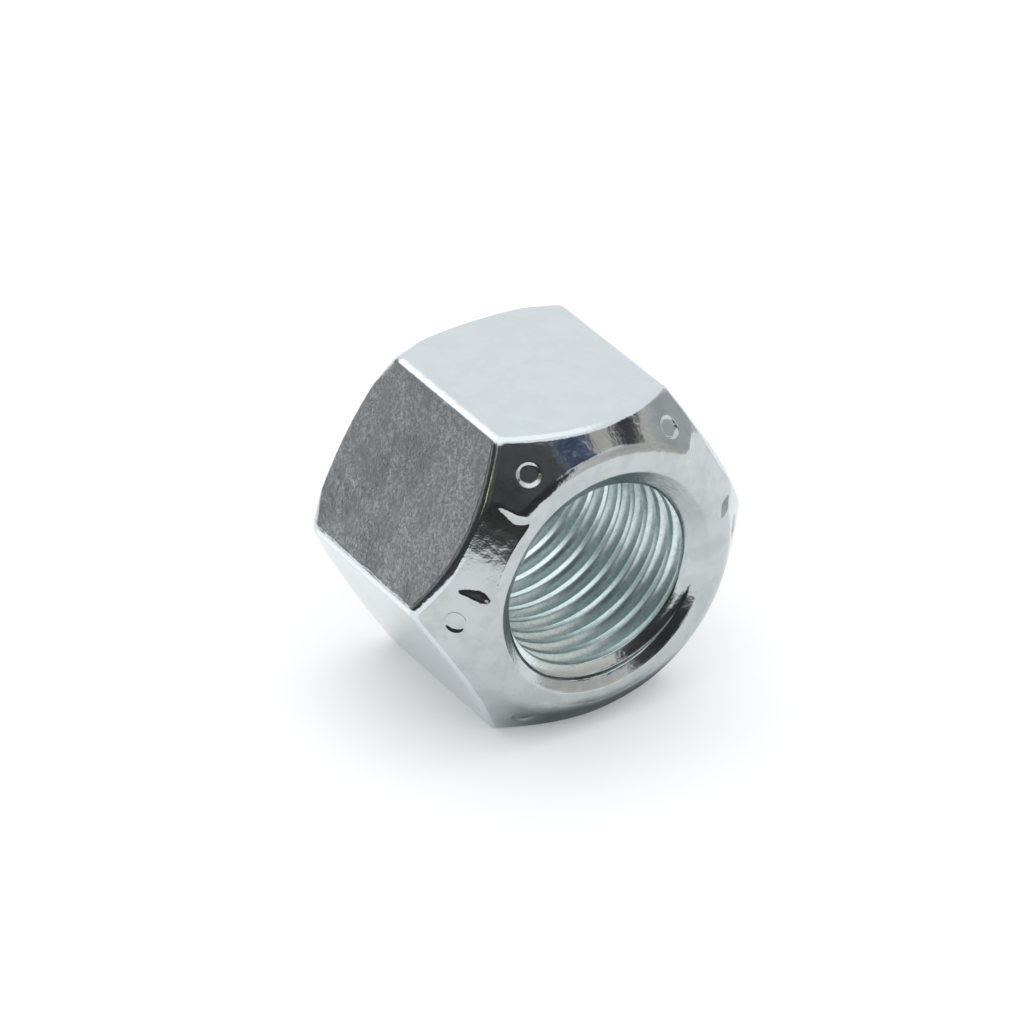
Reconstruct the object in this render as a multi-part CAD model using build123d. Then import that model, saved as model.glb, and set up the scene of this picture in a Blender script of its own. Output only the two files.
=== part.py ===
from build123d import *
from build123d.topology import SkipClean
from math import ceil
from math import cos
from math import hypot
from math import radians
from math import tan
import os

# One-piece prevailing-torque lock nut, 1/2-20 UNF, made from a single slug of steel.
# It is built standing on its bearing face with the thread along Z, then laid on one hexagon flat:
# the coned mouth ends up facing -Y, +Z is up, and the origin is under the middle of the lower flat.
# All lengths are in millimetres, all angles in degrees.

# hexagon and height
across_flats = 19.05
nut_height = 14.4
corner_rounding = 0.50
flat_count = 6

# coned top: the cone runs from the lip down over the corners of the hexagon
cone_top_radius = 8.18
cone_slope = 46.5
lip_rounding = 1.30

# two flats pressed into the lip above two sides of the hexagon, which is what grips the bolt
press_count = 2
press_radius = 7.52
press_slope = 33.5
press_direction = 30.0
press_spacing = 120.0

# bearing face, with a shallow chamfer out to the flats
bearing_radius = 9.12
bearing_slope = 24.0

# thread, 20 turns to the inch
thread_pitch = 25.4 / 20
thread_major_radius = 25.4 / 4
thread_minor_radius = 5.73
thread_root_flat = thread_pitch / 8
thread_flank_angle = 30.0
thread_start = 0.12
groove_overlap = 0.15

# countersinks at both ends of the thread
lip_width = 1.26
mouth_sink_radius = cone_top_radius - lip_width
mouth_sink_angle = 53.0
mouth_edge_chamfer = 0.15
base_sink_radius = thread_major_radius + 0.35
base_sink_angle = 55.0

# six round grade dots sunk into the cone, one at each corner of the hexagon
dot_radius = 0.72
dot_floor_radius = 0.30
dot_depth = 0.24
dot_centre_radius = 9.26

half_flats = across_flats / 2
half_corners = half_flats / cos(radians(180 / flat_count))
sink_foot_radius = thread_minor_radius / 2


def hexagon_bar():
    """The hexagon bar with rounded corners, one flat facing +Y."""
    outline = RegularPolygon(half_flats, flat_count, major_radius=False)
    outline = fillet(outline.vertices(), corner_rounding)
    return extrude(outline, nut_height)


def coned_top():
    """Everything inside the cone that runs down from the lip."""
    foot_radius = cone_top_radius + nut_height / tan(radians(cone_slope))
    return Pos(0, 0, nut_height / 2) * Cone(foot_radius, cone_top_radius, nut_height)


def chamfered_base():
    """Everything inside the shallow chamfer that surrounds the bearing face."""
    top_radius = bearing_radius + nut_height / tan(radians(bearing_slope))
    return Pos(0, 0, nut_height / 2) * Cone(bearing_radius, top_radius, nut_height)


def edges_around(solid, low, high, inside, outside):
    """The edges that run around the axis between two levels and two distances from it."""
    found = []
    for edge in solid.edges():
        middle = edge @ 0.5
        rise = edge @ 1 - edge @ 0
        upright = abs(rise.Z) > 1 and hypot(rise.X, rise.Y) < 0.01
        level_fits = low < middle.Z < high
        radius_fits = inside < hypot(middle.X, middle.Y) < outside
        if level_fits and radius_fits and not upright:
            found.append(edge)
    return found


def rounded_blank():
    """The hexagon blank with its cone, its base chamfer and the rounded outside of its lip."""
    blank = hexagon_bar() & coned_top() & chamfered_base()
    near_flats = half_flats * 0.99
    top_edge = edges_around(blank, nut_height - 0.01, nut_height + 0.01, mouth_sink_radius, near_flats)
    return fillet(top_edge, lip_rounding)


def pressed_flat(angle):
    """What one pressed flat takes away: everything beyond a slanting plane on the side at this angle."""
    reach = 2 * half_corners
    block = Pos(0, 0, reach / 2) * Box(reach, reach, reach)
    return Rot(0, 0, angle) * Pos(press_radius, 0, nut_height) * Rot(0, press_slope, 0) * block


def bore_tool():
    """The minor diameter of the thread as one round tool, its wall in three equal parts."""
    third = 360 / 3
    arcs = [CenterArc((0, 0), thread_minor_radius, third * count, third) for count in range(3)]
    return Pos(0, 0, -thread_pitch) * extrude(make_face(arcs), nut_height + 2 * thread_pitch, clean=False)


def mouth_sink():
    """The countersink of the mouth."""
    widening = tan(radians(mouth_sink_angle))
    depth = (mouth_sink_radius - sink_foot_radius) / widening
    above = 1.0
    edge_radius = mouth_sink_radius + above * widening
    sink = Cone(sink_foot_radius, edge_radius, depth + above)
    return Pos(0, 0, nut_height + (above - depth) / 2) * sink


def base_sink():
    """The countersink in the bearing face."""
    widening = tan(radians(base_sink_angle))
    depth = (base_sink_radius - sink_foot_radius) / widening
    below = 1.0
    foot_radius = base_sink_radius + below * widening
    return Pos(0, 0, (depth - below) / 2) * Cone(foot_radius, sink_foot_radius, depth + below)


def groove_turn():
    """One turn of the 60 degree thread groove, reaching a little inside the minor diameter."""
    depth = thread_major_radius - thread_minor_radius
    root = thread_root_flat / 2
    mouth = root + (depth + groove_overlap) * tan(radians(thread_flank_angle))
    corners = [(-groove_overlap, -mouth), (depth, -root), (depth, root), (-groove_overlap, mouth)]
    start = Plane(origin=(thread_minor_radius, 0, 0), x_dir=(1, 0, 0), z_dir=(0, -1, 0))
    line = Helix(thread_pitch, thread_pitch, thread_minor_radius)
    return sweep(start * Polygon(*corners, align=None), path=line, is_frenet=True)


def grade_dot(angle):
    """The tapered punch that sinks one grade dot square into the cone on the side at this angle."""
    level = nut_height - (dot_centre_radius - cone_top_radius) * tan(radians(cone_slope))
    rim_radius = 2 * dot_radius - dot_floor_radius
    punch = Cone(dot_floor_radius, rim_radius, 2 * dot_depth)
    return Rot(0, 0, angle) * Pos(dot_centre_radius, 0, level) * Rot(0, cone_slope, 0) * punch


def lock_nut():
    """The whole nut: rounded blank, countersinks, pressed flats, grade dots, bore and thread turns."""
    nut = rounded_blank() - mouth_sink() - base_sink()
    lip = edges_around(nut, nut_height - 0.01, nut_height + 0.01, 0, mouth_sink_radius * 1.01)
    nut = chamfer(lip, mouth_edge_chamfer)
    for count in range(press_count):
        nut = nut - pressed_flat(press_direction + press_spacing * count)
    for corner in range(flat_count):
        nut = nut - grade_dot(360 / flat_count * corner)
    turn = groove_turn()
    with SkipClean():
        nut = nut - bore_tool()
        for count in range(ceil(nut_height / thread_pitch) + 1):
            nut = nut - Pos(0, 0, thread_start + (count - 1) * thread_pitch) * turn
    return nut


laid_on_flat = Pos(0, nut_height / 2, half_flats) * Rot(90, 0, 0)
part = laid_on_flat * lock_nut()
os.makedirs("parts", exist_ok=True)
export_step(part, "parts/lock_nut.step")
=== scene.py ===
from collections import namedtuple

import bpy
import numpy as np
from mathutils import Matrix, Vector


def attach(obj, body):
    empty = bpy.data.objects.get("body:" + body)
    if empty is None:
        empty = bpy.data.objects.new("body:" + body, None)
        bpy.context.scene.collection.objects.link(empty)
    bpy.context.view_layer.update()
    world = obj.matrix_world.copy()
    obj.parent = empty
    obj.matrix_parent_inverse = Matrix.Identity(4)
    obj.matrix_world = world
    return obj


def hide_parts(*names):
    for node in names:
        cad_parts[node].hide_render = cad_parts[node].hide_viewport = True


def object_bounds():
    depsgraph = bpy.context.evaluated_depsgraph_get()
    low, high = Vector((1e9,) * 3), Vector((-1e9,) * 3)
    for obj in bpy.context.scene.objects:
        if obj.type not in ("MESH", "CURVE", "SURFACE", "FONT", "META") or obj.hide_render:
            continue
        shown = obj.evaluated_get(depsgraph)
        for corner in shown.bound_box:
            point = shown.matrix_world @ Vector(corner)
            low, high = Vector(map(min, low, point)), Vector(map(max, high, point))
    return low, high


bl_info = {
    "name": "Coned Lock Nut",
    "version": (1, 0, 0),
    "blender": (4, 5, 0),
    "location": "3D View > Sidebar > Lock Nut",
    "description": "Builds the visible lock nut, its zinc finish and a small studio around it",
    "category": "Add Mesh",
}

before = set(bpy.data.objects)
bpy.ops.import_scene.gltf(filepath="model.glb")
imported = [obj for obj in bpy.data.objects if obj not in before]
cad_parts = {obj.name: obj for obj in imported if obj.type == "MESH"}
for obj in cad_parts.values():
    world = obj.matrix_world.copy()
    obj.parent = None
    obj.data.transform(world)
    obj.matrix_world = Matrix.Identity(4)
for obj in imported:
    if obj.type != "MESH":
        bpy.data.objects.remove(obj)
cad_box = [list(corner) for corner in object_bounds()]

MM = 0.001
FLATS = 6
SECTOR = 2 * np.pi / FLATS
AXIS_HEIGHT = sum(corner[2] for corner in cad_box) / 2
MOUTH_LEVEL = cad_box[0][1]
NUT_HEIGHT = cad_box[1][1] - cad_box[0][1]
ACROSS_FLATS = cad_box[1][2] - cad_box[0][2]
SENSOR_MM = 36
MOUTH_SINK, LIP, CONE, SIDE, BASE_CHAMFER, BEARING_FACE, BASE_SINK = range(7)


def length(name, description, default):
    """A length that a user may change, in metres."""
    return bpy.props.FloatProperty(
        name=name, description=description, default=default, precision=6, unit="LENGTH", subtype="DISTANCE"
    )


def angle(name, description, degrees):
    """An angle that a user may change, given in degrees."""
    return bpy.props.FloatProperty(
        name=name, description=description, default=np.radians(degrees), unit="ROTATION", subtype="ANGLE"
    )


def colour(name, description, default):
    """A plain colour that a user may change."""
    return bpy.props.FloatVectorProperty(
        name=name, description=description, default=default, size=3, min=0, max=1, subtype="COLOR"
    )


def number(name, description, default):
    """A plain number that a user may change."""
    return bpy.props.FloatProperty(name=name, description=description, default=default, precision=4, min=0)


class LockNutBody(bpy.types.PropertyGroup):
    """Sizes of the outside of the nut."""

    corner_rounding: length("Corner rounding", "Radius along the six upright corners", 0.62 * MM)
    cone_top_radius: length("Cone top radius", "Where the cone would meet the mouth face", 8.18 * MM)
    cone_slope: angle("Cone slope", "Angle of the cone below the mouth face", 46.5)
    lip_rounding: length("Lip rounding", "Radius on the outside of the lip", 1.30 * MM)
    cone_edge_rounding: length("Cone edge rounding", "Radius between cone and flats", 0.75 * MM)
    base_edge_rounding: length("Base edge rounding", "Radius between flats and base chamfer", 0.20 * MM)
    base_corner_rounding: length("Base corner rounding", "The same radius at the six corners", 1.20 * MM)
    bearing_radius: length("Bearing radius", "Radius of the bearing face", 9.12 * MM)
    bearing_slope: angle("Bearing slope", "Angle of the base chamfer", 24)
    bearing_rounding: length("Bearing rounding", "Radius around the bearing face", 0.25 * MM)
    press_radius: length("Press radius", "Where a pressed flat starts on the mouth face", 7.44 * MM)
    press_slope: angle("Press slope", "Angle of a pressed flat below the mouth face", 35.5)
    press_direction: angle("Press direction", "Direction of the first pressed flat", 31.4)
    press_spacing: angle("Press spacing", "Turn from one pressed flat to the next", 120)
    press_bulge: length("Press bulge", "How far a pressed flat pushes the mouth inwards", 0.15 * MM)
    press_reach: length("Press reach", "Depth at which the bore is round again", 3.6 * MM)
    press_width: length("Press width", "Width of a pressed flat between its end walls", 5.30 * MM)
    press_wall: angle("Press wall", "Slope of the end walls of a pressed flat", 30)
    press_crown: length("Press crown", "Radius of the slight crown of a pressed flat", 27 * MM)
    press_edge: length("Press edge", "Softness of the edges of a pressed flat", 0.03 * MM)
    dot_radius: length("Dot radius", "Radius of a grade dot at its rim", 0.72 * MM)
    dot_depth: length("Dot depth", "Depth of a grade dot", 0.13 * MM)
    dot_floor: number("Dot floor", "Share of the radius of a grade dot that its floor takes up", 0.68)
    dot_centre_radius: length("Dot circle", "Radius of the circle through the grade dots", 9.26 * MM)
    waviness: length("Waviness", "Height of the soft waves left by forging", 0.012 * MM)


class LockNutThread(bpy.types.PropertyGroup):
    """Sizes of the thread and its two countersinks."""

    pitch: length("Pitch", "Distance from turn to turn", 1.27 * MM)
    major_radius: length("Major radius", "Radius at the root of the groove", 6.35 * MM)
    minor_radius: length("Minor radius", "Radius of the crests", 5.73 * MM)
    flank_angle: angle("Flank angle", "Half of the thread angle", 30)
    start: length("Start", "Where the first groove lies above the bearing face", 0.12 * MM)
    mouth_sink_radius: length("Mouth countersink", "Radius of the mouth countersink at its edge", 6.92 * MM)
    mouth_sink_angle: angle("Mouth countersink angle", "Half angle of the mouth countersink", 53)
    mouth_edge_rounding: length("Mouth rounding", "Radius on the inside of the lip", 0.25 * MM)
    base_sink_radius: length("Base countersink", "Radius of the base countersink at its edge", 6.70 * MM)
    base_sink_angle: angle("Base countersink angle", "Half angle of the base countersink", 55)
    base_edge_rounding: length("Base rounding", "Radius around the base countersink", 0.12 * MM)


class ZincFinish(bpy.types.PropertyGroup):
    """Colours and smoothness of the zinc plating."""

    zinc_colour: colour("Zinc", "Colour of the bright plating on the sides", (0.64, 0.70, 0.725))
    dusty_colour: colour("Dusty colour", "Faint patches of the smooth zinc", (0.62, 0.68, 0.705))
    cone_colour: colour("Cone zinc", "Colour of the plating on the cone and lip", (0.51, 0.545, 0.55))
    hazy_colour: colour("Hazy colour", "Duller patches of the polished cone", (0.455, 0.49, 0.495))
    grain_colour: colour("Grained zinc", "Colour between the grains of two sides", (0.57, 0.59, 0.605))
    # Painted highlight: a brighter zinc colour laid on the corner roundings so that their highlights read
    # whiter.
    edge_highlight_colour: colour("Edge colour", "Zinc worn bright along the corners", (0.82, 0.86, 0.87))
    sparkle_colour: colour("Grain", "Colour of the grains of two sides", (1.0, 1.0, 1.0))
    thread_colour: colour("Thread zinc", "Colour of the plating in the thread", (0.82, 0.92, 0.92))
    thread_shade: colour("Thread shade", "Duller, warmer specks of the thread", (0.655, 0.76, 0.755))
    cone_roughness: number("Cone roughness", "Roughness of the polished cone and lip", 0.10)
    flat_roughness: number("Flat roughness", "Roughness of the smooth sides", 0.16)
    grain_roughness: number("Grain roughness", "Roughness of the two grained sides", 0.26)
    thread_roughness: number("Thread roughness", "Roughness of the cut thread", 0.32)
    forge_height: length("Forge height", "Height of the soft unevenness of the cone", 0.030 * MM)
    mark_height: length("Mark height", "Height of the turning marks in thread and mouth", 0.010 * MM)
    grain_height: length("Grain height", "Height of the grain in the two grained sides", 0.016 * MM)


class NutStudio(bpy.types.PropertyGroup):
    """Camera, floor and light."""

    camera_azimuth: angle("Camera azimuth", "Turn of the camera away from straight in front", -34.255)
    camera_elevation: angle("Camera elevation", "Height of the camera above the nut", 32.925)
    camera_roll: angle("Camera roll", "Roll of the camera", 1.421)
    camera_distance: length("Camera distance", "Distance of the camera from the nut", 338.4 * MM)
    lens: number("Lens", "Focal length in millimetres on a 36 mm sensor", 212.98)
    shift_x: bpy.props.FloatProperty(name="Shift across", description="Lens shift across", default=-0.02291)
    shift_y: bpy.props.FloatProperty(name="Shift up", description="Lens shift up", default=0.01033)
    floor_colour: colour("Floor", "Colour of the floor", (0.86, 0.865, 0.87))
    floor_glow: number("Floor glow", "How far the seen floor is lifted towards white", 0.16)
    lamp_power: number("Lamp power", "Power of the soft lamp overhead, in watts", 0.8)
    sky_strength: number("Sky strength", "Strength of the soft white surround", 1.05)


# ---------------------------------------------------------------- shape of the nut


def unit(pair):
    """Pairs (depth, radius) scaled to length one."""
    return pair / np.linalg.norm(pair, axis=-1, keepdims=True)


def smooth_step(value):
    """0 below 0, 1 above 1 and 3 v^2 - 2 v^3 between."""
    value = np.clip(value, 0, 1)
    return value * value * (3 - 2 * value)


def smooth_greatest(a, b, width):
    """The greater of two values, with a round blend where they differ by less than the width."""
    h = np.clip(0.5 + (a - b) / (2 * width), 0, 1)
    return a * h + b * (1 - h) + width * h * (1 - h)


def smooth_least(a, b, width):
    """The lesser of two values, with the same blend."""
    return -smooth_greatest(-a, -b, width)


def rounded_corner(before, corner, after, radius, steps):
    """An exact circular arc in a corner: the rational curve (a S + b C + c E) / (a + b + c).

    S and E lie on the two sides, radius times tan(turn / 2) away from the corner C. The shares are
    a = (1 - s)^2, b = 2 s (1 - s) cos(turn / 2) and c = s^2, with s running from 0 to 1.
    """
    incoming = unit(corner - before)
    outgoing = unit(after - corner)
    turn = np.arccos(np.clip((incoming * outgoing).sum(-1, keepdims=True), -1, 1))
    tangent = radius * np.tan(turn / 2)
    start = corner - incoming * tangent
    end = corner + outgoing * tangent
    s = np.linspace(0, 1, steps + 1)[:, None, None]
    a = (1 - s) ** 2
    b = 2 * s * (1 - s) * np.cos(turn / 2)
    c = s**2
    return (a * start + b * corner + c * end) / (a + b + c)


def hexagon_radius(theta, rounding):
    """Distance from the axis to the rounded hexagon in each direction theta.

    Between corners it is h / cos(d), with h half the width across flats and d the angle from the
    nearest flat. In a corner it is the far crossing of the ray with the corner circle, whose centre
    lies (h - rounding) / cos(30 degrees) from the axis: c cos(p) + sqrt(r^2 - (c sin(p))^2).
    """
    half = ACROSS_FLATS / 2
    from_flat = (theta + SECTOR) % SECTOR - SECTOR / 2
    centre = (half - rounding) / np.cos(SECTOR / 2)
    tangent_angle = np.arctan2(centre * np.sin(SECTOR / 2), half)
    off_corner = SECTOR / 2 - np.abs(from_flat)
    under_root = np.maximum(rounding**2 - (centre * np.sin(off_corner)) ** 2, 0)
    in_corner = centre * np.cos(off_corner) + np.sqrt(under_root)
    return np.where(np.abs(from_flat) <= tangent_angle, half / np.cos(from_flat), in_corner)


def column_angles(body):
    """Directions of the columns: fine in the corner roundings, over the dots and over the pressed flats.

    Half a side is a list of turns away from its corner, and the other half is its mirror image.
    """
    half = ACROSS_FLATS / 2
    centre = (half - body.corner_rounding) / np.cos(SECTOR / 2)
    corner_arc = SECTOR / 2 - np.arctan2(centre * np.sin(SECTOR / 2), half)
    dot_arc = np.radians(5.5)
    press_arc = np.radians(10)
    support = np.radians(0.2)

    def onwards(start, end, steps):
        """Even steps after the start, up to the end."""
        return np.linspace(start, end, steps + 1)[1:]

    corner = [[0], onwards(0, corner_arc, 4), [corner_arc + support], onwards(corner_arc, dot_arc, 7)]
    plain = [*corner, onwards(dot_arc, SECTOR / 2, 10)]
    pressed = [*corner, onwards(dot_arc, press_arc, 2), onwards(press_arc, SECTOR / 2, 25)]
    angles = []
    for count in range(FLATS):
        side = SECTOR * (count + 0.5)
        is_pressed = np.min(np.abs(press_directions(body) - side)) < SECTOR / 4
        rise = np.unique(np.round(np.concatenate(pressed if is_pressed else plain), 9))
        angles.append(SECTOR * count + np.concatenate([rise, (SECTOR - rise[:-1])[::-1]])[:-1])
    return np.concatenate(angles)


def press_directions(body):
    """Directions of the two pressed flats."""
    return body.press_direction + body.press_spacing * np.arange(2)


def bulge_shift(body, theta, depth):
    """How far the pressed flats push the mouth inwards.

    The sum over both flats of -b exp(-(a / w)^2), with a the angle from the flat's middle and w the
    spread, times a square fade from 1 at the mouth to 0 at the reach.
    """
    spread = np.radians(18)
    away = (theta - press_directions(body).reshape(-1, *[1] * np.ndim(theta)) + np.pi) % (2 * np.pi) - np.pi
    dip = np.exp(-((away / spread) ** 2)).sum(0)
    fade = np.clip(1 - depth / body.press_reach, 0, 1) ** 2
    return -body.press_bulge * dip * fade


def straight_run(start, end, shares):
    """Points on a straight side at the given shares of its length."""
    return start + (end - start) * np.asarray(shares)[:, None, None]


def outer_rows(body, thread, theta, first_depth, last_depth):
    """Depth and radius of every outer row, from the mouth countersink round to the base countersink.

    Each column is a polyline of corners joined by exact arcs. The rounding of the base edge grows towards
    the corners of the hexagon with the smooth step of the closeness.
    The kind of a row is the surface that it lies on, from MOUTH_SINK to BASE_SINK. The first row of a
    surface is 0.1 less and the last 0.1 more, and the rounding that follows it is 0.5 more. Each surface
    has its rows at fixed shares of its length between the roundings.
    """
    corner_reach = np.radians(12)
    sink_rise = np.tan(thread.mouth_sink_angle)
    base_rise = np.tan(thread.base_sink_angle)
    hexagon = hexagon_radius(theta, body.corner_rounding)
    zero = np.zeros_like(theta)
    off_corner = np.abs((theta + SECTOR / 2) % SECTOR - SECTOR / 2)
    near = smooth_step(1 - off_corner / corner_reach)[:, None]
    base_rounding = body.base_edge_rounding + (body.base_corner_rounding - body.base_edge_rounding) * near

    def corner(depth, radius):
        """One corner of every column's polyline."""
        return np.stack([zero + depth, zero + radius], -1)

    cone_depth = (hexagon - body.cone_top_radius) * np.tan(body.cone_slope)
    sink_start = thread.mouth_sink_radius + bulge_shift(body, theta, first_depth) - first_depth * sink_rise
    base_start = NUT_HEIGHT - (hexagon - body.bearing_radius) * np.tan(body.bearing_slope)
    base_end = thread.base_sink_radius - (NUT_HEIGHT - last_depth) * base_rise
    corners = [
        corner(first_depth, sink_start),
        corner(0, thread.mouth_sink_radius + bulge_shift(body, theta, 0)),
        corner(0, body.cone_top_radius),
        corner(cone_depth, hexagon),
        corner(base_start, hexagon),
        corner(NUT_HEIGHT, body.bearing_radius),
        corner(NUT_HEIGHT, thread.base_sink_radius),
        corner(last_depth, base_end),
    ]
    roundings = [
        (thread.mouth_edge_rounding, 5),
        (body.lip_rounding, 14),
        (body.cone_edge_rounding, 7),
        (base_rounding, 7),
        (body.bearing_rounding, 3),
        (thread.base_edge_rounding, 3),
    ]
    arcs = [
        rounded_corner(corners[i], corners[i + 1], corners[i + 2], *rounding)
        for i, rounding in enumerate(roundings)
    ]
    cone_shares = np.concatenate([np.linspace(0.01, 0.72, 32), [0.79, 0.86, 0.93, 0.985]])
    shares_on = [
        [0.35, 0.7, 0.95],
        [0.05, 0.5, 0.95],
        cone_shares,
        [0.004, 0.03, 0.2, 0.4, 0.6, 0.8, 0.97, 0.996],
        [0.05, 0.5, 0.95],
        [0.01, 0.3, 0.7, 0.99],
        [0.06, 0.5],
    ]
    starts = [corners[0][None]] + [arc[-1:] for arc in arcs]
    ends = [arc[:1] for arc in arcs] + [corners[-1][None]]
    rows = [corners[0][None]]
    kinds = [MOUTH_SINK]
    for i, shares in enumerate(shares_on):
        rows.append(straight_run(starts[i], ends[i], shares))
        kinds += [i - 0.1] + [i] * (len(shares) - 2) + [i + 0.1]
        if i < len(arcs):
            rows.append(arcs[i])
            kinds += [i + 0.5] * len(arcs[i])
    rows.append(corners[-1][None])
    kinds.append(BASE_SINK)
    return np.concatenate(rows), np.array(kinds)


def thread_radius(body, thread, theta, depth):
    """Radius of the inner wall, and where it is thread: 0 in the countersinks, 1 past the first turn.

    The wall is the larger of the thread and the two countersinks. The thread is a groove whose centre
    line falls by one pitch a turn. Across it, with u the distance from the centre line, the radius is
    major at the root, falls by u / tan(flank) on the flanks and ends at minor on the crests, with both
    corners eased by a smooth least and a smooth greatest.
    """
    blend = 0.05 * MM
    crest_blend = 0.06 * MM
    bare_depth = 0.85 * MM
    fade_depth = 0.40 * MM
    pitch = thread.pitch
    phase = depth + pitch * theta / (2 * np.pi) - (NUT_HEIGHT - thread.start)
    u = np.abs((phase + pitch / 2) % pitch - pitch / 2)
    flank = thread.major_radius - (u - pitch / 16) / np.tan(thread.flank_angle)
    wall = smooth_least(flank, thread.major_radius, blend)
    wall = smooth_greatest(wall, thread.minor_radius, crest_blend)
    bulge = bulge_shift(body, theta, depth)
    wall = wall + bulge
    mouth = thread.mouth_sink_radius + bulge - depth * np.tan(thread.mouth_sink_angle)
    base = thread.base_sink_radius - (NUT_HEIGHT - depth) * np.tan(thread.base_sink_angle)
    cut = np.clip((wall - np.maximum(mouth, base)) / blend, 0, 1)
    cut = cut * np.clip((depth - bare_depth) / fade_depth, 0, 1)
    wall = smooth_greatest(wall, mouth, blend)
    return smooth_greatest(wall, base, blend), cut


def thread_levels(thread, first_depth, last_depth):
    """Depth of each thread row at theta 0, and how many rows make one turn.

    Rows follow the groove, so each row falls by one pitch a turn and ends on the row one turn before it.
    Across the groove they stand where the wall bends. Spare turns at both ends are cut off again.
    """
    spare = 3
    half = np.array([0.055, 0.10, 0.25, 0.395, 0.445, 0.50]) * MM
    phases = np.concatenate([[0], half, [thread.pitch / 2], thread.pitch - half[::-1]])
    groove = NUT_HEIGHT - thread.start
    turns = np.arange(-spare - int(NUT_HEIGHT / thread.pitch), spare + 1)
    levels = (groove + turns[:, None] * thread.pitch + phases[None, :]).ravel()
    per_turn = len(phases)
    low = np.searchsorted(levels, first_depth) - 1
    high = np.searchsorted(levels, last_depth + thread.pitch) + 1
    return levels[low:high], per_turn


def nut_surface(body, thread):
    """Vertices, faces and finish shares of the whole nut as one closed skin.

    The outside is a grid of columns and rows. The thread is a second grid whose rows follow the helix;
    rows past the first or last depth all end on the two rings that both grids share, and so does what
    comes nearer to them than the snap.
    """
    theta = column_angles(body)
    columns = len(theta)
    first_depth = 0.36 * MM
    last_depth = NUT_HEIGHT - 0.17 * MM
    outside, kinds = outer_rows(body, thread, theta, first_depth, last_depth)
    rows = len(outside)
    outer_id = np.arange(rows * columns).reshape(rows, columns)

    levels, per_turn = thread_levels(thread, first_depth, last_depth)
    depth = levels[:, None] - thread.pitch * theta[None, :] / (2 * np.pi)
    snap = 0.012 * MM
    above = depth <= first_depth + snap
    below = depth >= last_depth - snap
    inner_id = np.full(depth.shape, -1)
    inside = ~(above | below)
    inner_id[inside] = rows * columns + np.arange(inside.sum())
    inner_id = np.where(above, outer_id[0][None, :], inner_id)
    inner_id = np.where(below, outer_id[-1][None, :], inner_id)
    radius, cut = thread_radius(body, thread, theta[None, :], depth)

    turned = np.broadcast_to(theta, depth.shape)
    all_theta = np.concatenate([np.broadcast_to(theta, (rows, columns)).ravel(), turned[inside]])
    all_depth = np.concatenate([outside[..., 0].ravel(), depth[inside]])
    all_radius = np.concatenate([outside[..., 1].ravel(), radius[inside]])
    points = np.stack(
        [
            all_radius * np.cos(all_theta),
            MOUTH_LEVEL + all_depth,
            AXIS_HEIGHT + all_radius * np.sin(all_theta),
        ],
        -1,
    )

    seam = np.concatenate([np.broadcast_to(outer_id[0, 0], (per_turn,)), inner_id[:-per_turn, 0]])
    inner_next = np.concatenate([inner_id[:, 1:], seam[:, None]], 1)
    outer_next = np.roll(outer_id, -1, 1)
    outer_faces = np.stack([outer_id[:-1], outer_id[1:], outer_next[1:], outer_next[:-1]], -1).reshape(-1, 4)
    inner_faces = np.stack([inner_id[1:], inner_id[:-1], inner_next[:-1], inner_next[1:]], -1).reshape(-1, 4)
    same = inner_faces == np.roll(inner_faces, -1, 1)
    inner_faces = inner_faces[same.sum(1) < 2]

    kind = np.concatenate([np.repeat(kinds, columns), np.full(inside.sum(), -1.0)])
    threaded = np.concatenate([np.zeros(rows * columns), cut[inside]])
    return points, outer_faces, inner_faces, kind, threaded


def faces_to_mesh(name, points, faces):
    """A mesh from quads in which a corner may be named twice running, which makes that face a triangle."""
    keep = faces != np.roll(faces, 1, 1)
    totals = keep.sum(1)
    loops = faces[keep]
    starts = np.concatenate([[0], np.cumsum(totals)[:-1]])
    mesh = bpy.data.meshes.new(name)
    mesh.vertices.add(len(points))
    mesh.vertices.foreach_set("co", points.astype(np.float32).ravel())
    mesh.loops.add(len(loops))
    mesh.loops.foreach_set("vertex_index", loops.astype(np.int32))
    mesh.polygons.add(len(faces))
    mesh.polygons.foreach_set("loop_start", starts.astype(np.int32))
    mesh.polygons.foreach_set("loop_total", totals.astype(np.int32))
    mesh.polygons.foreach_set("use_smooth", np.ones(len(faces), bool))
    mesh.update(calc_edges=True)
    mesh.validate()
    return mesh


def press_flats(body, points, outside):
    """Presses the two flats into the lip and cone with a slightly crowned, blunt-ended punch.

    With t the distance across from the middle of the flat, the depth below a slanting plane is
    e + t^2 / (2 R), limited at both ends by the walls (w / 2 - |t|) tan(slope). A point moves back
    along the plane's normal by the smooth greatest of that depth and 0.
    """
    for turn in press_directions(body):
        out = np.array([np.cos(turn), 0, np.sin(turn)])
        square = out * np.sin(body.press_slope) + [0, -np.cos(body.press_slope), 0]
        start = out * body.press_radius + [0, MOUTH_LEVEL, AXIS_HEIGHT]
        arm = points - start
        across = np.abs(arm @ [-np.sin(turn), 0, np.cos(turn)])
        depth = arm @ square + across**2 / (2 * body.press_crown)
        wall = (body.press_width / 2 - across) * np.tan(body.press_wall)
        back = smooth_greatest(smooth_least(depth, wall, body.press_edge), 0, body.press_edge)
        near = outside & (back > 0) & (arm @ out > -body.press_radius / 2)
        points[near] -= back[near, None] * square


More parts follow.
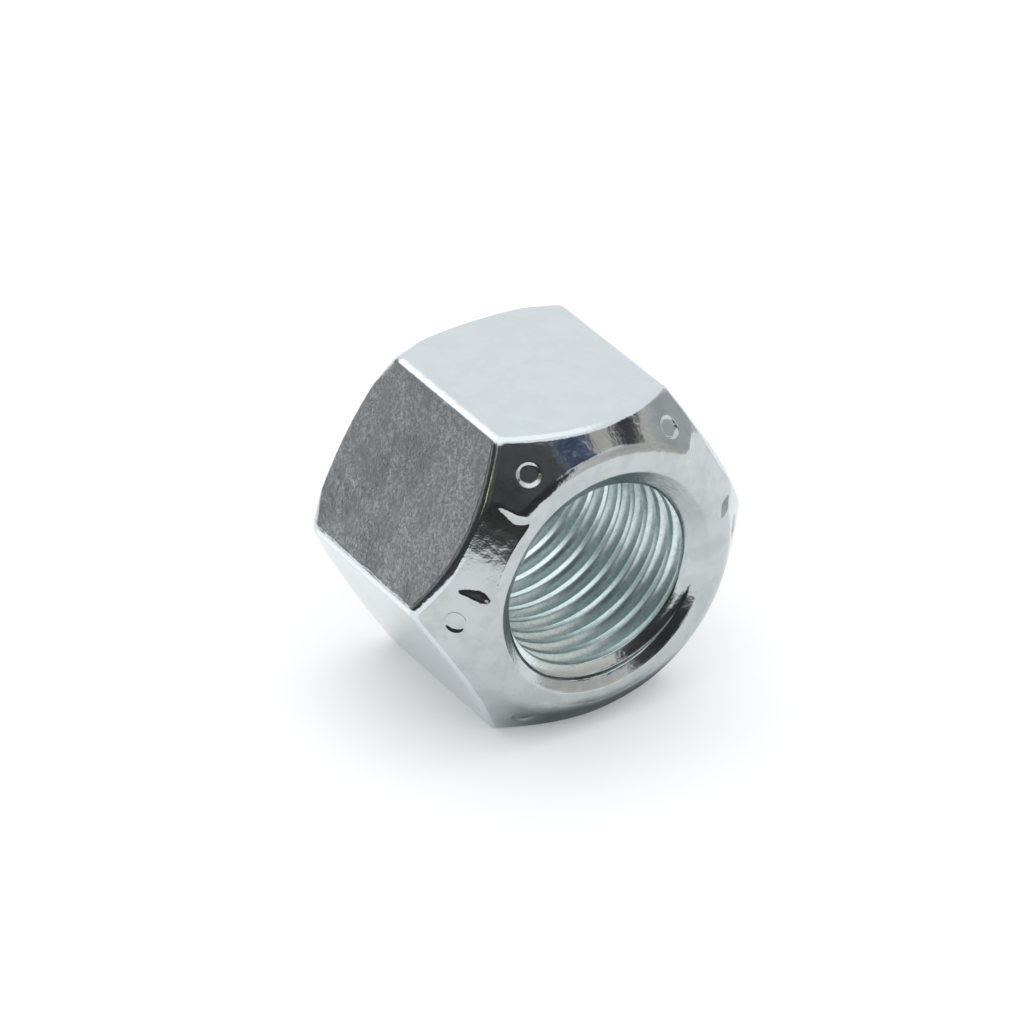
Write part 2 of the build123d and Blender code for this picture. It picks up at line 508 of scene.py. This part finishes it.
def press_dots(body, points, outside):
    """Sinks the six grade dots into the cone: a shallow dish along the line square to the cone.

    With q the distance from the dot's own axis over its radius, the depth is d (1 - s(q)), where s is
    the smooth step from the floor's share to 1, and a tenth of d more in a bowl 1 - q^2.
    """
    slope = body.cone_slope
    level = (body.dot_centre_radius - body.cone_top_radius) * np.tan(slope)
    for corner in range(FLATS):
        turn = corner * SECTOR
        out = np.array([np.cos(turn), 0, np.sin(turn)])
        centre = out * body.dot_centre_radius + [0, MOUTH_LEVEL + level, AXIS_HEIGHT]
        square = out * np.sin(slope) + [0, -np.cos(slope), 0]
        arm = points - centre
        along = arm @ square
        off = np.linalg.norm(arm - along[:, None] * square, axis=1) / body.dot_radius
        rise = smooth_step((off - body.dot_floor) / (1 - body.dot_floor))
        dish = 1 - rise + 0.1 * np.clip(1 - off**2, 0, 1)
        near = outside & (np.abs(along) < body.dot_radius) & (off < 1)
        points[near] -= body.dot_depth * dish[near, None] * square


def soft_waves(points, shortest, longest):
    """Slow waves in space between 0 and 1: half of 1 plus the mean of ten sines.

    Their directions are fixed and uneven, and their lengths lie between the shortest and the longest.
    """
    waves = 10
    seeded = np.random.default_rng(7)
    total = np.zeros(len(points))
    for _ in range(waves):
        direction = unit(seeded.normal(size=3))
        size = seeded.uniform(shortest, longest)
        total += np.sin(points @ direction * 2 * np.pi / size + seeded.uniform(0, 2 * np.pi))
    return 0.5 + total / (2 * waves)


def between(kind, low, high):
    """Where the kind of a row lies between two values."""
    return (kind > low) & (kind < high)


def add_share(mesh, name, values):
    """Stores one number for each vertex of the mesh."""
    layer = mesh.attributes.new(name, "FLOAT", "POINT")
    layer.data.foreach_set("value", values.astype(np.float32))


def build_nut(body, thread):
    """The finished mesh of the nut with the share of each finish on its vertices.

    The grain covers the sides at 150 and 330 degrees and fades out just short of their edges. The painted
    highlight on the corner roundings is full along the corners of these two sides and faint along the
    others.
    """
    grained_sides = (150, 330)
    grain_end = 29.2
    grain_fade = 1.6
    just_past_corner = 40
    edge_start = 29.0
    edge_fade = 0.5
    faint_edge = 0.2
    points, outer_faces, inner_faces, kind, threaded = nut_surface(body, thread)
    press_flats(body, points, between(kind, MOUTH_SINK + 0.4, SIDE + 0.1))
    press_dots(body, points, between(kind, LIP + 0.4, CONE + 0.6))
    mesh = faces_to_mesh("lock_nut_body", points, np.concatenate([outer_faces, inner_faces]))
    normals = np.zeros(len(points) * 3, np.float32)
    mesh.vertices.foreach_get("normal", normals)
    wavy = soft_waves(points, 2.2 * MM, 6.0 * MM) * between(kind, LIP + 0.4, BASE_CHAMFER + 0.6)
    points -= normals.reshape(-1, 3) * (wavy * body.waviness)[:, None]
    mesh.vertices.foreach_set("co", points.astype(np.float32).ravel())
    mesh.update()
    on_side = between(kind, SIDE - 0.2, SIDE + 0.2)
    with_base_edge = between(kind, SIDE - 0.05, SIDE + 0.6)
    side = np.degrees(np.arctan2(points[:, 2] - AXIS_HEIGHT, points[:, 0])) % 360
    off_grained = np.min([np.abs(side - middle) for middle in grained_sides], axis=0)
    off_corner = np.abs(side % 60 - 30)
    beside = np.where(off_grained < just_past_corner, 1.0, faint_edge)
    add_share(mesh, "flat_share", on_side)
    grained = np.clip((grain_end - off_grained) / grain_fade, 0, 1) * with_base_edge
    add_share(mesh, "grain_share", grained)
    # Painted highlight: the share of brighter zinc on the corner roundings, full on the two grained sides
    # and faint elsewhere.
    edge = np.clip((off_corner - edge_start) / edge_fade, 0, 1) * on_side * beside
    add_share(mesh, "edge_highlight_share", edge)
    add_share(mesh, "cone_share", (kind < CONE + 0.4) - threaded)
    add_share(mesh, "cut_share", kind < MOUTH_SINK + 0.3)
    add_share(mesh, "thread_share", threaded)
    return mesh


# ---------------------------------------------------------------- zinc plating


class Nodes:
    """Short ways to add and join the shader nodes of one tree."""

    def __init__(self, tree):
        self.tree = tree

    def add(self, kind, **settings):
        """A new node of this kind."""
        node = self.tree.nodes.new(kind)
        for key, value in settings.items():
            setattr(node, key, value)
        return node

    def join(self, source, target):
        """A link from an output to an input."""
        self.tree.links.new(source, target)

    def feed(self, socket, value):
        """Gives an input what it takes: a link, a plain number or a colour."""
        if isinstance(value, bpy.types.NodeSocket):
            self.join(value, socket)
        else:
            socket.default_value = value if np.isscalar(value) else (*value, 1)

    def share(self, name):
        """The number that the mesh stores under this name."""
        return self.add("ShaderNodeAttribute", attribute_name=name).outputs["Fac"]

    def math(self, operation, a, b, clamp=False):
        """Two values joined by an operation."""
        node = self.add("ShaderNodeMath", operation=operation, use_clamp=clamp)
        self.feed(node.inputs[0], a)
        self.feed(node.inputs[1], b)
        return node.outputs[0]

    def ramp(self, source, low, high):
        """The smooth step from 0 at low to 1 at high."""
        node = self.add("ShaderNodeMapRange", interpolation_type="SMOOTHSTEP")
        self.join(source, node.inputs["Value"])
        node.inputs["From Min"].default_value = low
        node.inputs["From Max"].default_value = high
        return node.outputs[0]

    def noise(self, vector, scale, detail, roughness):
        """A noise between 0 and 1."""
        node = self.add("ShaderNodeTexNoise")
        self.join(vector, node.inputs["Vector"])
        node.inputs["Scale"].default_value = scale
        node.inputs["Detail"].default_value = detail
        node.inputs["Roughness"].default_value = roughness
        return node.outputs[0]

    def mix_number(self, part, a, b):
        """The number a where the part is 0 and b where it is 1."""
        node = self.add("ShaderNodeMix", data_type="FLOAT")
        for index, value in zip((0, 2, 3), (part, a, b)):
            self.feed(node.inputs[index], value)
        return node.outputs[0]

    def mix_colour(self, part, a, b):
        """The colour a where the part is 0 and b where it is 1."""
        node = self.add("ShaderNodeMix", data_type="RGBA")
        for index, value in zip((0, 6, 7), (part, a, b)):
            self.feed(node.inputs[index], value)
        return node.outputs[2]

    def bump(self, height, distance, under=None):
        """A bump as high as the distance, on top of the one under it."""
        node = self.add("ShaderNodeBump")
        node.inputs["Strength"].default_value = 1.0
        node.inputs["Distance"].default_value = distance
        self.join(height, node.inputs["Height"])
        if under is not None:
            self.join(under, node.inputs["Normal"])
        return node.outputs["Normal"]

    def sum_to_surface(self, first, second):
        """The sum of two shaders as the surface of the material."""
        both = self.add("ShaderNodeAddShader")
        self.join(first.outputs[0], both.inputs[0])
        self.join(second.outputs[0], both.inputs[1])
        self.join(both.outputs[0], self.add("ShaderNodeOutputMaterial").inputs["Surface"])


def zinc_material(finish):
    """Bright zinc over forged steel: polished cone, two grained sides, softly cut thread.

    The grain is bright where fine specks and coarser clumps together are high, inside slow drifts. The
    mouth countersink and the thread carry turning marks, a noise that is drawn out around the axis.
    """
    material = bpy.data.materials.new("bright_zinc")
    material.use_nodes = True
    nodes = Nodes(material.node_tree)
    shader = material.node_tree.nodes["Principled BSDF"]
    place = nodes.add("ShaderNodeTexCoord").outputs["Object"]
    flat = nodes.share("flat_share")
    grained = nodes.share("grain_share")
    cone = nodes.share("cone_share")
    thread = nodes.share("thread_share")
    cut = nodes.share("cut_share")
    edge = nodes.share("edge_highlight_share")

    drawn_out = nodes.add("ShaderNodeVectorMath", operation="MULTIPLY")
    nodes.join(place, drawn_out.inputs[0])
    drawn_out.inputs[1].default_value = (0.10, 1.0, 0.10)
    turned = nodes.noise(drawn_out.outputs[0], scale=5200, detail=4, roughness=0.8)
    specks = nodes.noise(place, scale=7500, detail=2, roughness=0.8)
    clumps = nodes.noise(place, scale=3900, detail=2, roughness=0.6)
    cloud = nodes.noise(place, scale=700, detail=4, roughness=0.6)
    forge = nodes.noise(place, scale=950, detail=4, roughness=0.55)
    haze = nodes.noise(place, scale=190, detail=3, roughness=0.5)
    sparkle = nodes.math("ADD", nodes.math("MULTIPLY", specks, 0.55), nodes.math("MULTIPLY", clumps, 0.45))
    drift = nodes.math("MULTIPLY", nodes.math("ADD", cloud, haze), 0.5)
    patchy = nodes.ramp(cloud, low=0.42, high=0.62)
    worn = nodes.ramp(sparkle, low=0.38, high=0.60)

    uneven = nodes.math("MULTIPLY", nodes.math("SUBTRACT", cloud, 0.5), 1.2)
    ragged = nodes.ramp(nodes.math("ADD", grained, uneven), low=0.35, high=0.65)
    grained = nodes.math("MULTIPLY", ragged, nodes.ramp(grained, low=0.0, high=0.1))
    speckled = nodes.ramp(sparkle, low=0.44, high=0.585)
    bright = nodes.math("MULTIPLY", speckled, nodes.ramp(drift, low=0.36, high=0.60))
    dull = nodes.math("MULTIPLY", nodes.math("SUBTRACT", 1.0, bright), grained)

    colour_out = nodes.mix_colour(patchy, finish.zinc_colour, finish.dusty_colour)
    colour_out = nodes.mix_colour(grained, colour_out, finish.sparkle_colour)
    colour_out = nodes.mix_colour(dull, colour_out, finish.grain_colour)
    # Painted highlight: brighter zinc along the corner roundings.
    colour_out = nodes.mix_colour(edge, colour_out, finish.edge_highlight_colour)
    cone_out = nodes.mix_colour(patchy, finish.cone_colour, finish.hazy_colour)
    colour_out = nodes.mix_colour(cone, colour_out, cone_out)
    thread_out = nodes.mix_colour(worn, finish.thread_shade, finish.thread_colour)
    colour_out = nodes.mix_colour(thread, colour_out, thread_out)
    nodes.join(colour_out, shader.inputs["Base Color"])

    smooth = nodes.mix_number(flat, finish.cone_roughness, finish.flat_roughness)
    smooth = nodes.mix_number(grained, smooth, finish.grain_roughness)
    smooth = nodes.mix_number(thread, smooth, finish.thread_roughness)
    cloudy = nodes.math("MULTIPLY", nodes.ramp(haze, low=0.35, high=0.75), 0.05)
    nodes.join(nodes.math("ADD", smooth, cloudy, clamp=True), shader.inputs["Roughness"])
    shader.inputs["Metallic"].default_value = 1.0

    grain_depth = nodes.mix_number(grained, 0.15, 1.0)
    relief = nodes.bump(forge, finish.forge_height)
    relief = nodes.bump(nodes.math("MULTIPLY", sparkle, grain_depth), finish.grain_height, relief)
    relief = nodes.bump(nodes.math("MULTIPLY", turned, cut), finish.mark_height, relief)
    nodes.join(relief, shader.inputs["Normal"])
    return material


def empty_material(name):
    """A material without nodes, and the short ways to fill it."""
    material = bpy.data.materials.new(name)
    material.use_nodes = True
    material.node_tree.nodes.clear()
    return material, Nodes(material.node_tree)


# ---------------------------------------------------------------- studio


def show(name, data):
    """A new object in the scene with this mesh, camera or lamp."""
    holder = bpy.data.objects.new(name, data)
    bpy.context.scene.collection.objects.link(holder)
    return holder


def direction(azimuth, elevation):
    """Unit vector at an azimuth from straight in front of the mouth and an elevation, in radians."""
    return np.stack(
        [
            np.sin(azimuth) * np.cos(elevation),
            -np.cos(azimuth) * np.cos(elevation),
            np.sin(elevation) + 0 * azimuth,
        ],
        -1,
    )


Card = namedtuple("Card", "name colour second azimuths elevations soft")


def studio_cards():
    """The soft cards that the nut mirrors, the farthest first, with their ranges in degrees.

    Each has two colours that drift into each other. The last number is its softness.
    """
    slate = (0.034, 0.036, 0.040)
    soot = (0.055, 0.052, 0.050)
    ash = (0.070, 0.074, 0.080)
    coal = (0.105, 0.102, 0.105)
    brown = (0.115, 0.108, 0.100)
    sand = (0.30, 0.27, 0.20)
    plum = (0.035, 0.033, 0.050)
    white = (1.4, 1.4, 1.4)
    pewter = (0.55, 0.56, 0.57)
    gold = (1.0, 0.85, 0.35)
    return [
        Card("back", white, white, (-176, -140), (27, 50), 4),
        Card("grey", pewter, pewter, (68, 100), (0, 30), 5),
        Card("wall", (0.80, 0.78, 0.73), (0.60, 0.58, 0.55), (16, 70), (0, 34), 3),
        Card("dim", (0.30, 0.31, 0.32), (0.26, 0.27, 0.28), (-175, -95), (-6, 28), 5),
        Card("shelf", sand, brown, (-118, -80), (28, 50), 3),
        Card("beige", (0.66, 0.62, 0.56), (0.60, 0.56, 0.50), (31, 50), (42, 54), 2),
        Card("navy", (0.06, 0.11, 0.28), (0.05, 0.07, 0.12), (4, 32), (38, 56), 2),
        Card("spot", plum, soot, (50, 67), (30, 45), 1.5),
        Card("dark", slate, soot, (-133, 12), (-6, 34), 2),
        Card("dark_high", ash, coal, (-78, 4), (30, 56), 2),
        Card("glint", gold, gold, (-97, -87), (25, 31), 2),
    ]


def card_cover(card, azimuth, elevation):
    """1 inside the card's ranges, falling to 0 across a margin as wide on each side as its softness."""
    inside_across = np.minimum(azimuth - card.azimuths[0], card.azimuths[1] - azimuth)
    inside_up = np.minimum(elevation - card.elevations[0], card.elevations[1] - elevation)
    width = 2 * card.soft
    return smooth_step(0.5 + inside_across / width) * smooth_step(0.5 + inside_up / width)


def build_screen(name, points, across, paint, cover):
    """A grid of points that only reflections see: it glows in its paint where it covers.

    The paint is already multiplied by the cover, so the light from behind it, times 1 - cover, is added.
    """
    ids = np.arange(len(points)).reshape(-1, across)
    faces = np.stack([ids[:-1, :-1], ids[1:, :-1], ids[1:, 1:], ids[:-1, 1:]], -1).reshape(-1, 4)
    mesh = faces_to_mesh(name, points, faces)
    layer = mesh.attributes.new("paint", "FLOAT_VECTOR", "POINT")
    layer.data.foreach_set("vector", paint.astype(np.float32).ravel())
    add_share(mesh, "clear_share", 1 - cover)
    material, nodes = empty_material(name)
    material.cycles.emission_sampling = "NONE"
    painted = nodes.add("ShaderNodeAttribute", attribute_name="paint")
    glow = nodes.add("ShaderNodeEmission")
    nodes.join(painted.outputs["Vector"], glow.inputs["Color"])
    clear = nodes.add("ShaderNodeBsdfTransparent")
    nodes.join(nodes.share("clear_share"), clear.inputs["Color"])
    nodes.sum_to_surface(glow, clear)
    mesh.materials.append(material)
    screen = show(name, mesh)
    screen.visible_camera = False
    screen.visible_diffuse = False
    screen.visible_shadow = False


def build_card_dome(cards):
    """One dome around the nut on which the cards are painted, the nearest last, with a point each degree.

    A card's two colours are mixed by 4 w - 1.5, held between 0 and 1, with w the soft waves.
    """
    distance = 0.62
    lowest, highest = -4.0, 62.0
    azimuth, elevation = np.meshgrid(np.arange(-180.0, 181.0), np.arange(lowest, highest + 1))
    points = distance * direction(np.radians(azimuth), np.radians(elevation)).reshape(-1, 3)
    drift = np.clip(4 * soft_waves(points, 0.04, 0.30) - 1.5, 0, 1)
    points[:, 2] += AXIS_HEIGHT
    cover = np.zeros(len(points))
    paint = np.zeros((len(points), 3))
    for card in cards:
        own = card_cover(card, azimuth, elevation).ravel()
        tint = np.outer(1 - drift, card.colour) + np.outer(drift, card.second)
        cover = own + cover * (1 - own)
        paint = own[:, None] * tint + (1 - own)[:, None] * paint
    build_screen("card_dome", points, azimuth.shape[1], paint, cover)


def build_contact_shade():
    """A dark oval on the floor under the coned end, where little light gets in.

    Its cover is greatest in the middle and falls to 0 at the rim with the smooth step of the distance.
    """
    darkest = 0.85
    rim_share = 0.6
    level = -0.01 * MM
    middle = (1.0 * MM, -5.8 * MM)
    reach = (8.5 * MM, 4.6 * MM)
    turn, radius = np.meshgrid(np.radians(np.arange(0.0, 361.0, 6.0)), np.linspace(0, 1, 24))
    across = middle[0] + reach[0] * radius * np.cos(turn)
    along = middle[1] + reach[1] * radius * np.sin(turn)
    points = np.stack([across, along, np.full_like(radius, level)], -1).reshape(-1, 3)
    cover = darkest * smooth_step((1 - radius) / rim_share).ravel()
    paint = np.outer(cover, (0.045, 0.065, 0.070))
    build_screen("contact_shade", points, turn.shape[1], paint, cover)


def build_camera(studio):
    """The camera looks at the middle of the nut from its azimuth and elevation, with a slight roll."""
    back = Vector(direction(np.array(studio.camera_azimuth), np.array(studio.camera_elevation)))
    right = Vector((np.cos(studio.camera_azimuth), np.sin(studio.camera_azimuth), 0))
    up = back.cross(right)
    roll = studio.camera_roll
    rolled_right = right * np.cos(roll) + up * np.sin(roll)
    rolled_up = up * np.cos(roll) - right * np.sin(roll)
    camera = show("camera", bpy.data.cameras.new("camera"))
    camera.data.lens = studio.lens
    camera.data.sensor_width = SENSOR_MM
    camera.data.shift_x = studio.shift_x
    camera.data.shift_y = studio.shift_y
    camera.data.clip_start = 0.01
    turn = Matrix((rolled_right, rolled_up, back)).transposed().to_4x4()
    place = back * studio.camera_distance + Vector((0, 0, AXIS_HEIGHT))
    camera.matrix_world = Matrix.Translation(place) @ turn
    bpy.context.scene.camera = camera


def background_rays(nodes):
    """1 for the rays that show the background: seen by the camera, in gloss or through glass."""
    path = nodes.add("ShaderNodeLightPath")
    seen = nodes.math("MAXIMUM", path.outputs["Is Camera Ray"], path.outputs["Is Glossy Ray"])
    return nodes.math("MAXIMUM", seen, path.outputs["Is Transmission Ray"])


def build_floor(studio):
    """A wide pale floor that keeps the nut's soft shadow and melts into the white surround."""
    size = 3.0
    gap = 0.02 * MM
    rim = np.array([[-size, -size, -gap], [size, -size, -gap], [size, size, -gap], [-size, size, -gap]])
    mesh = faces_to_mesh("floor", rim, np.array([[0, 1, 2, 3]]))
    material, nodes = empty_material("pale_floor")
    matt = nodes.add("ShaderNodeBsdfDiffuse")
    matt.inputs["Color"].default_value = (*studio.floor_colour, 1)
    glow = nodes.add("ShaderNodeEmission")
    nodes.join(nodes.math("MULTIPLY", background_rays(nodes), studio.floor_glow), glow.inputs["Strength"])
    nodes.sum_to_surface(matt, glow)
    mesh.materials.append(material)
    floor = show("floor", mesh)


def build_surround(studio):
    """A white surround: strength 1 where it is seen, and a little more as light on the floor."""
    world = bpy.data.worlds.new("surround")
    bpy.context.scene.world = world
    world.use_nodes = True
    nodes = Nodes(world.node_tree)
    background = world.node_tree.nodes["Background"]
    background.inputs["Color"].default_value = (1, 1, 1, 1)
    strength = nodes.mix_number(background_rays(nodes), studio.sky_strength, 1.0)
    nodes.join(strength, background.inputs["Strength"])


def build_lamp(studio):
    """One soft square lamp above the nut and a little behind it, aimed at its middle."""
    place = Vector((0.0, 0.24, 0.78))
    lamp = bpy.data.lights.new("overhead_lamp", "AREA")
    lamp.shape = "SQUARE"
    lamp.size = 0.9
    lamp.energy = studio.lamp_power
    holder = show("overhead_lamp", lamp)
    holder.location = place
    aim = Vector((0, 0, AXIS_HEIGHT)) - place
    holder.rotation_euler = aim.to_track_quat("-Z", "Y").to_euler()


# ---------------------------------------------------------------- add-on


class LOCKNUT_OT_body(bpy.types.Operator):
    """Build the nut and give it its zinc finish"""

    bl_idname = "locknut.body"
    bl_label = "Lock nut"

    def execute(self, context):
        scene = context.scene
        mesh = build_nut(scene.lock_nut_body, scene.lock_nut_thread)
        mesh.materials.append(zinc_material(scene.lock_nut_finish))
        nut = show("lock_nut_body", mesh)
        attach(nut, "root")
        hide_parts("lock_nut")
        return {"FINISHED"}


class LOCKNUT_OT_studio(bpy.types.Operator):
    """Build the camera, the floor, the white surround, the lamp and the cards that the nut mirrors"""

    bl_idname = "locknut.studio"
    bl_label = "Studio"

    def execute(self, context):
        studio = context.scene.lock_nut_studio
        build_camera(studio)
        build_floor(studio)
        build_surround(studio)
        build_lamp(studio)
        build_card_dome(studio_cards())
        build_contact_shade()
        context.scene.view_settings.view_transform = "Standard"
        return {"FINISHED"}


class LOCKNUT_PT_panel(bpy.types.Panel):
    """The lock nut's sizes, finish and studio"""

    bl_idname = "LOCKNUT_PT_panel"
    bl_label = "Lock Nut"
    bl_space_type = "VIEW_3D"
    bl_region_type = "UI"
    bl_category = "Lock Nut"

    def draw(self, context):
        layout = self.layout
        for group_name in GROUPS:
            group = getattr(context.scene, group_name)
            column = layout.column(align=True)
            for key in group.__annotations__:
                column.prop(group, key)
        for operator in OPERATORS:
            layout.operator(operator.bl_idname)


GROUPS = {
    "lock_nut_body": LockNutBody,
    "lock_nut_thread": LockNutThread,
    "lock_nut_finish": ZincFinish,
    "lock_nut_studio": NutStudio,
}
OPERATORS = [LOCKNUT_OT_body, LOCKNUT_OT_studio]


def register():
    """Registers the classes and hangs the settings on the scene."""
    for kind in [*GROUPS.values(), *OPERATORS, LOCKNUT_PT_panel]:
        bpy.utils.register_class(kind)
    for name, group in GROUPS.items():
        setattr(bpy.types.Scene, name, bpy.props.PointerProperty(type=group))


def unregister():
    """Takes the settings and the classes away again."""
    for name in GROUPS:
        delattr(bpy.types.Scene, name)
    for kind in [LOCKNUT_PT_panel, *reversed(OPERATORS), *reversed(GROUPS.values())]:
        bpy.utils.unregister_class(kind)


def main():
    """Builds everything in order."""
    register()
    bpy.ops.locknut.body()
    bpy.ops.locknut.studio()


if __name__ == "__main__":
    main()
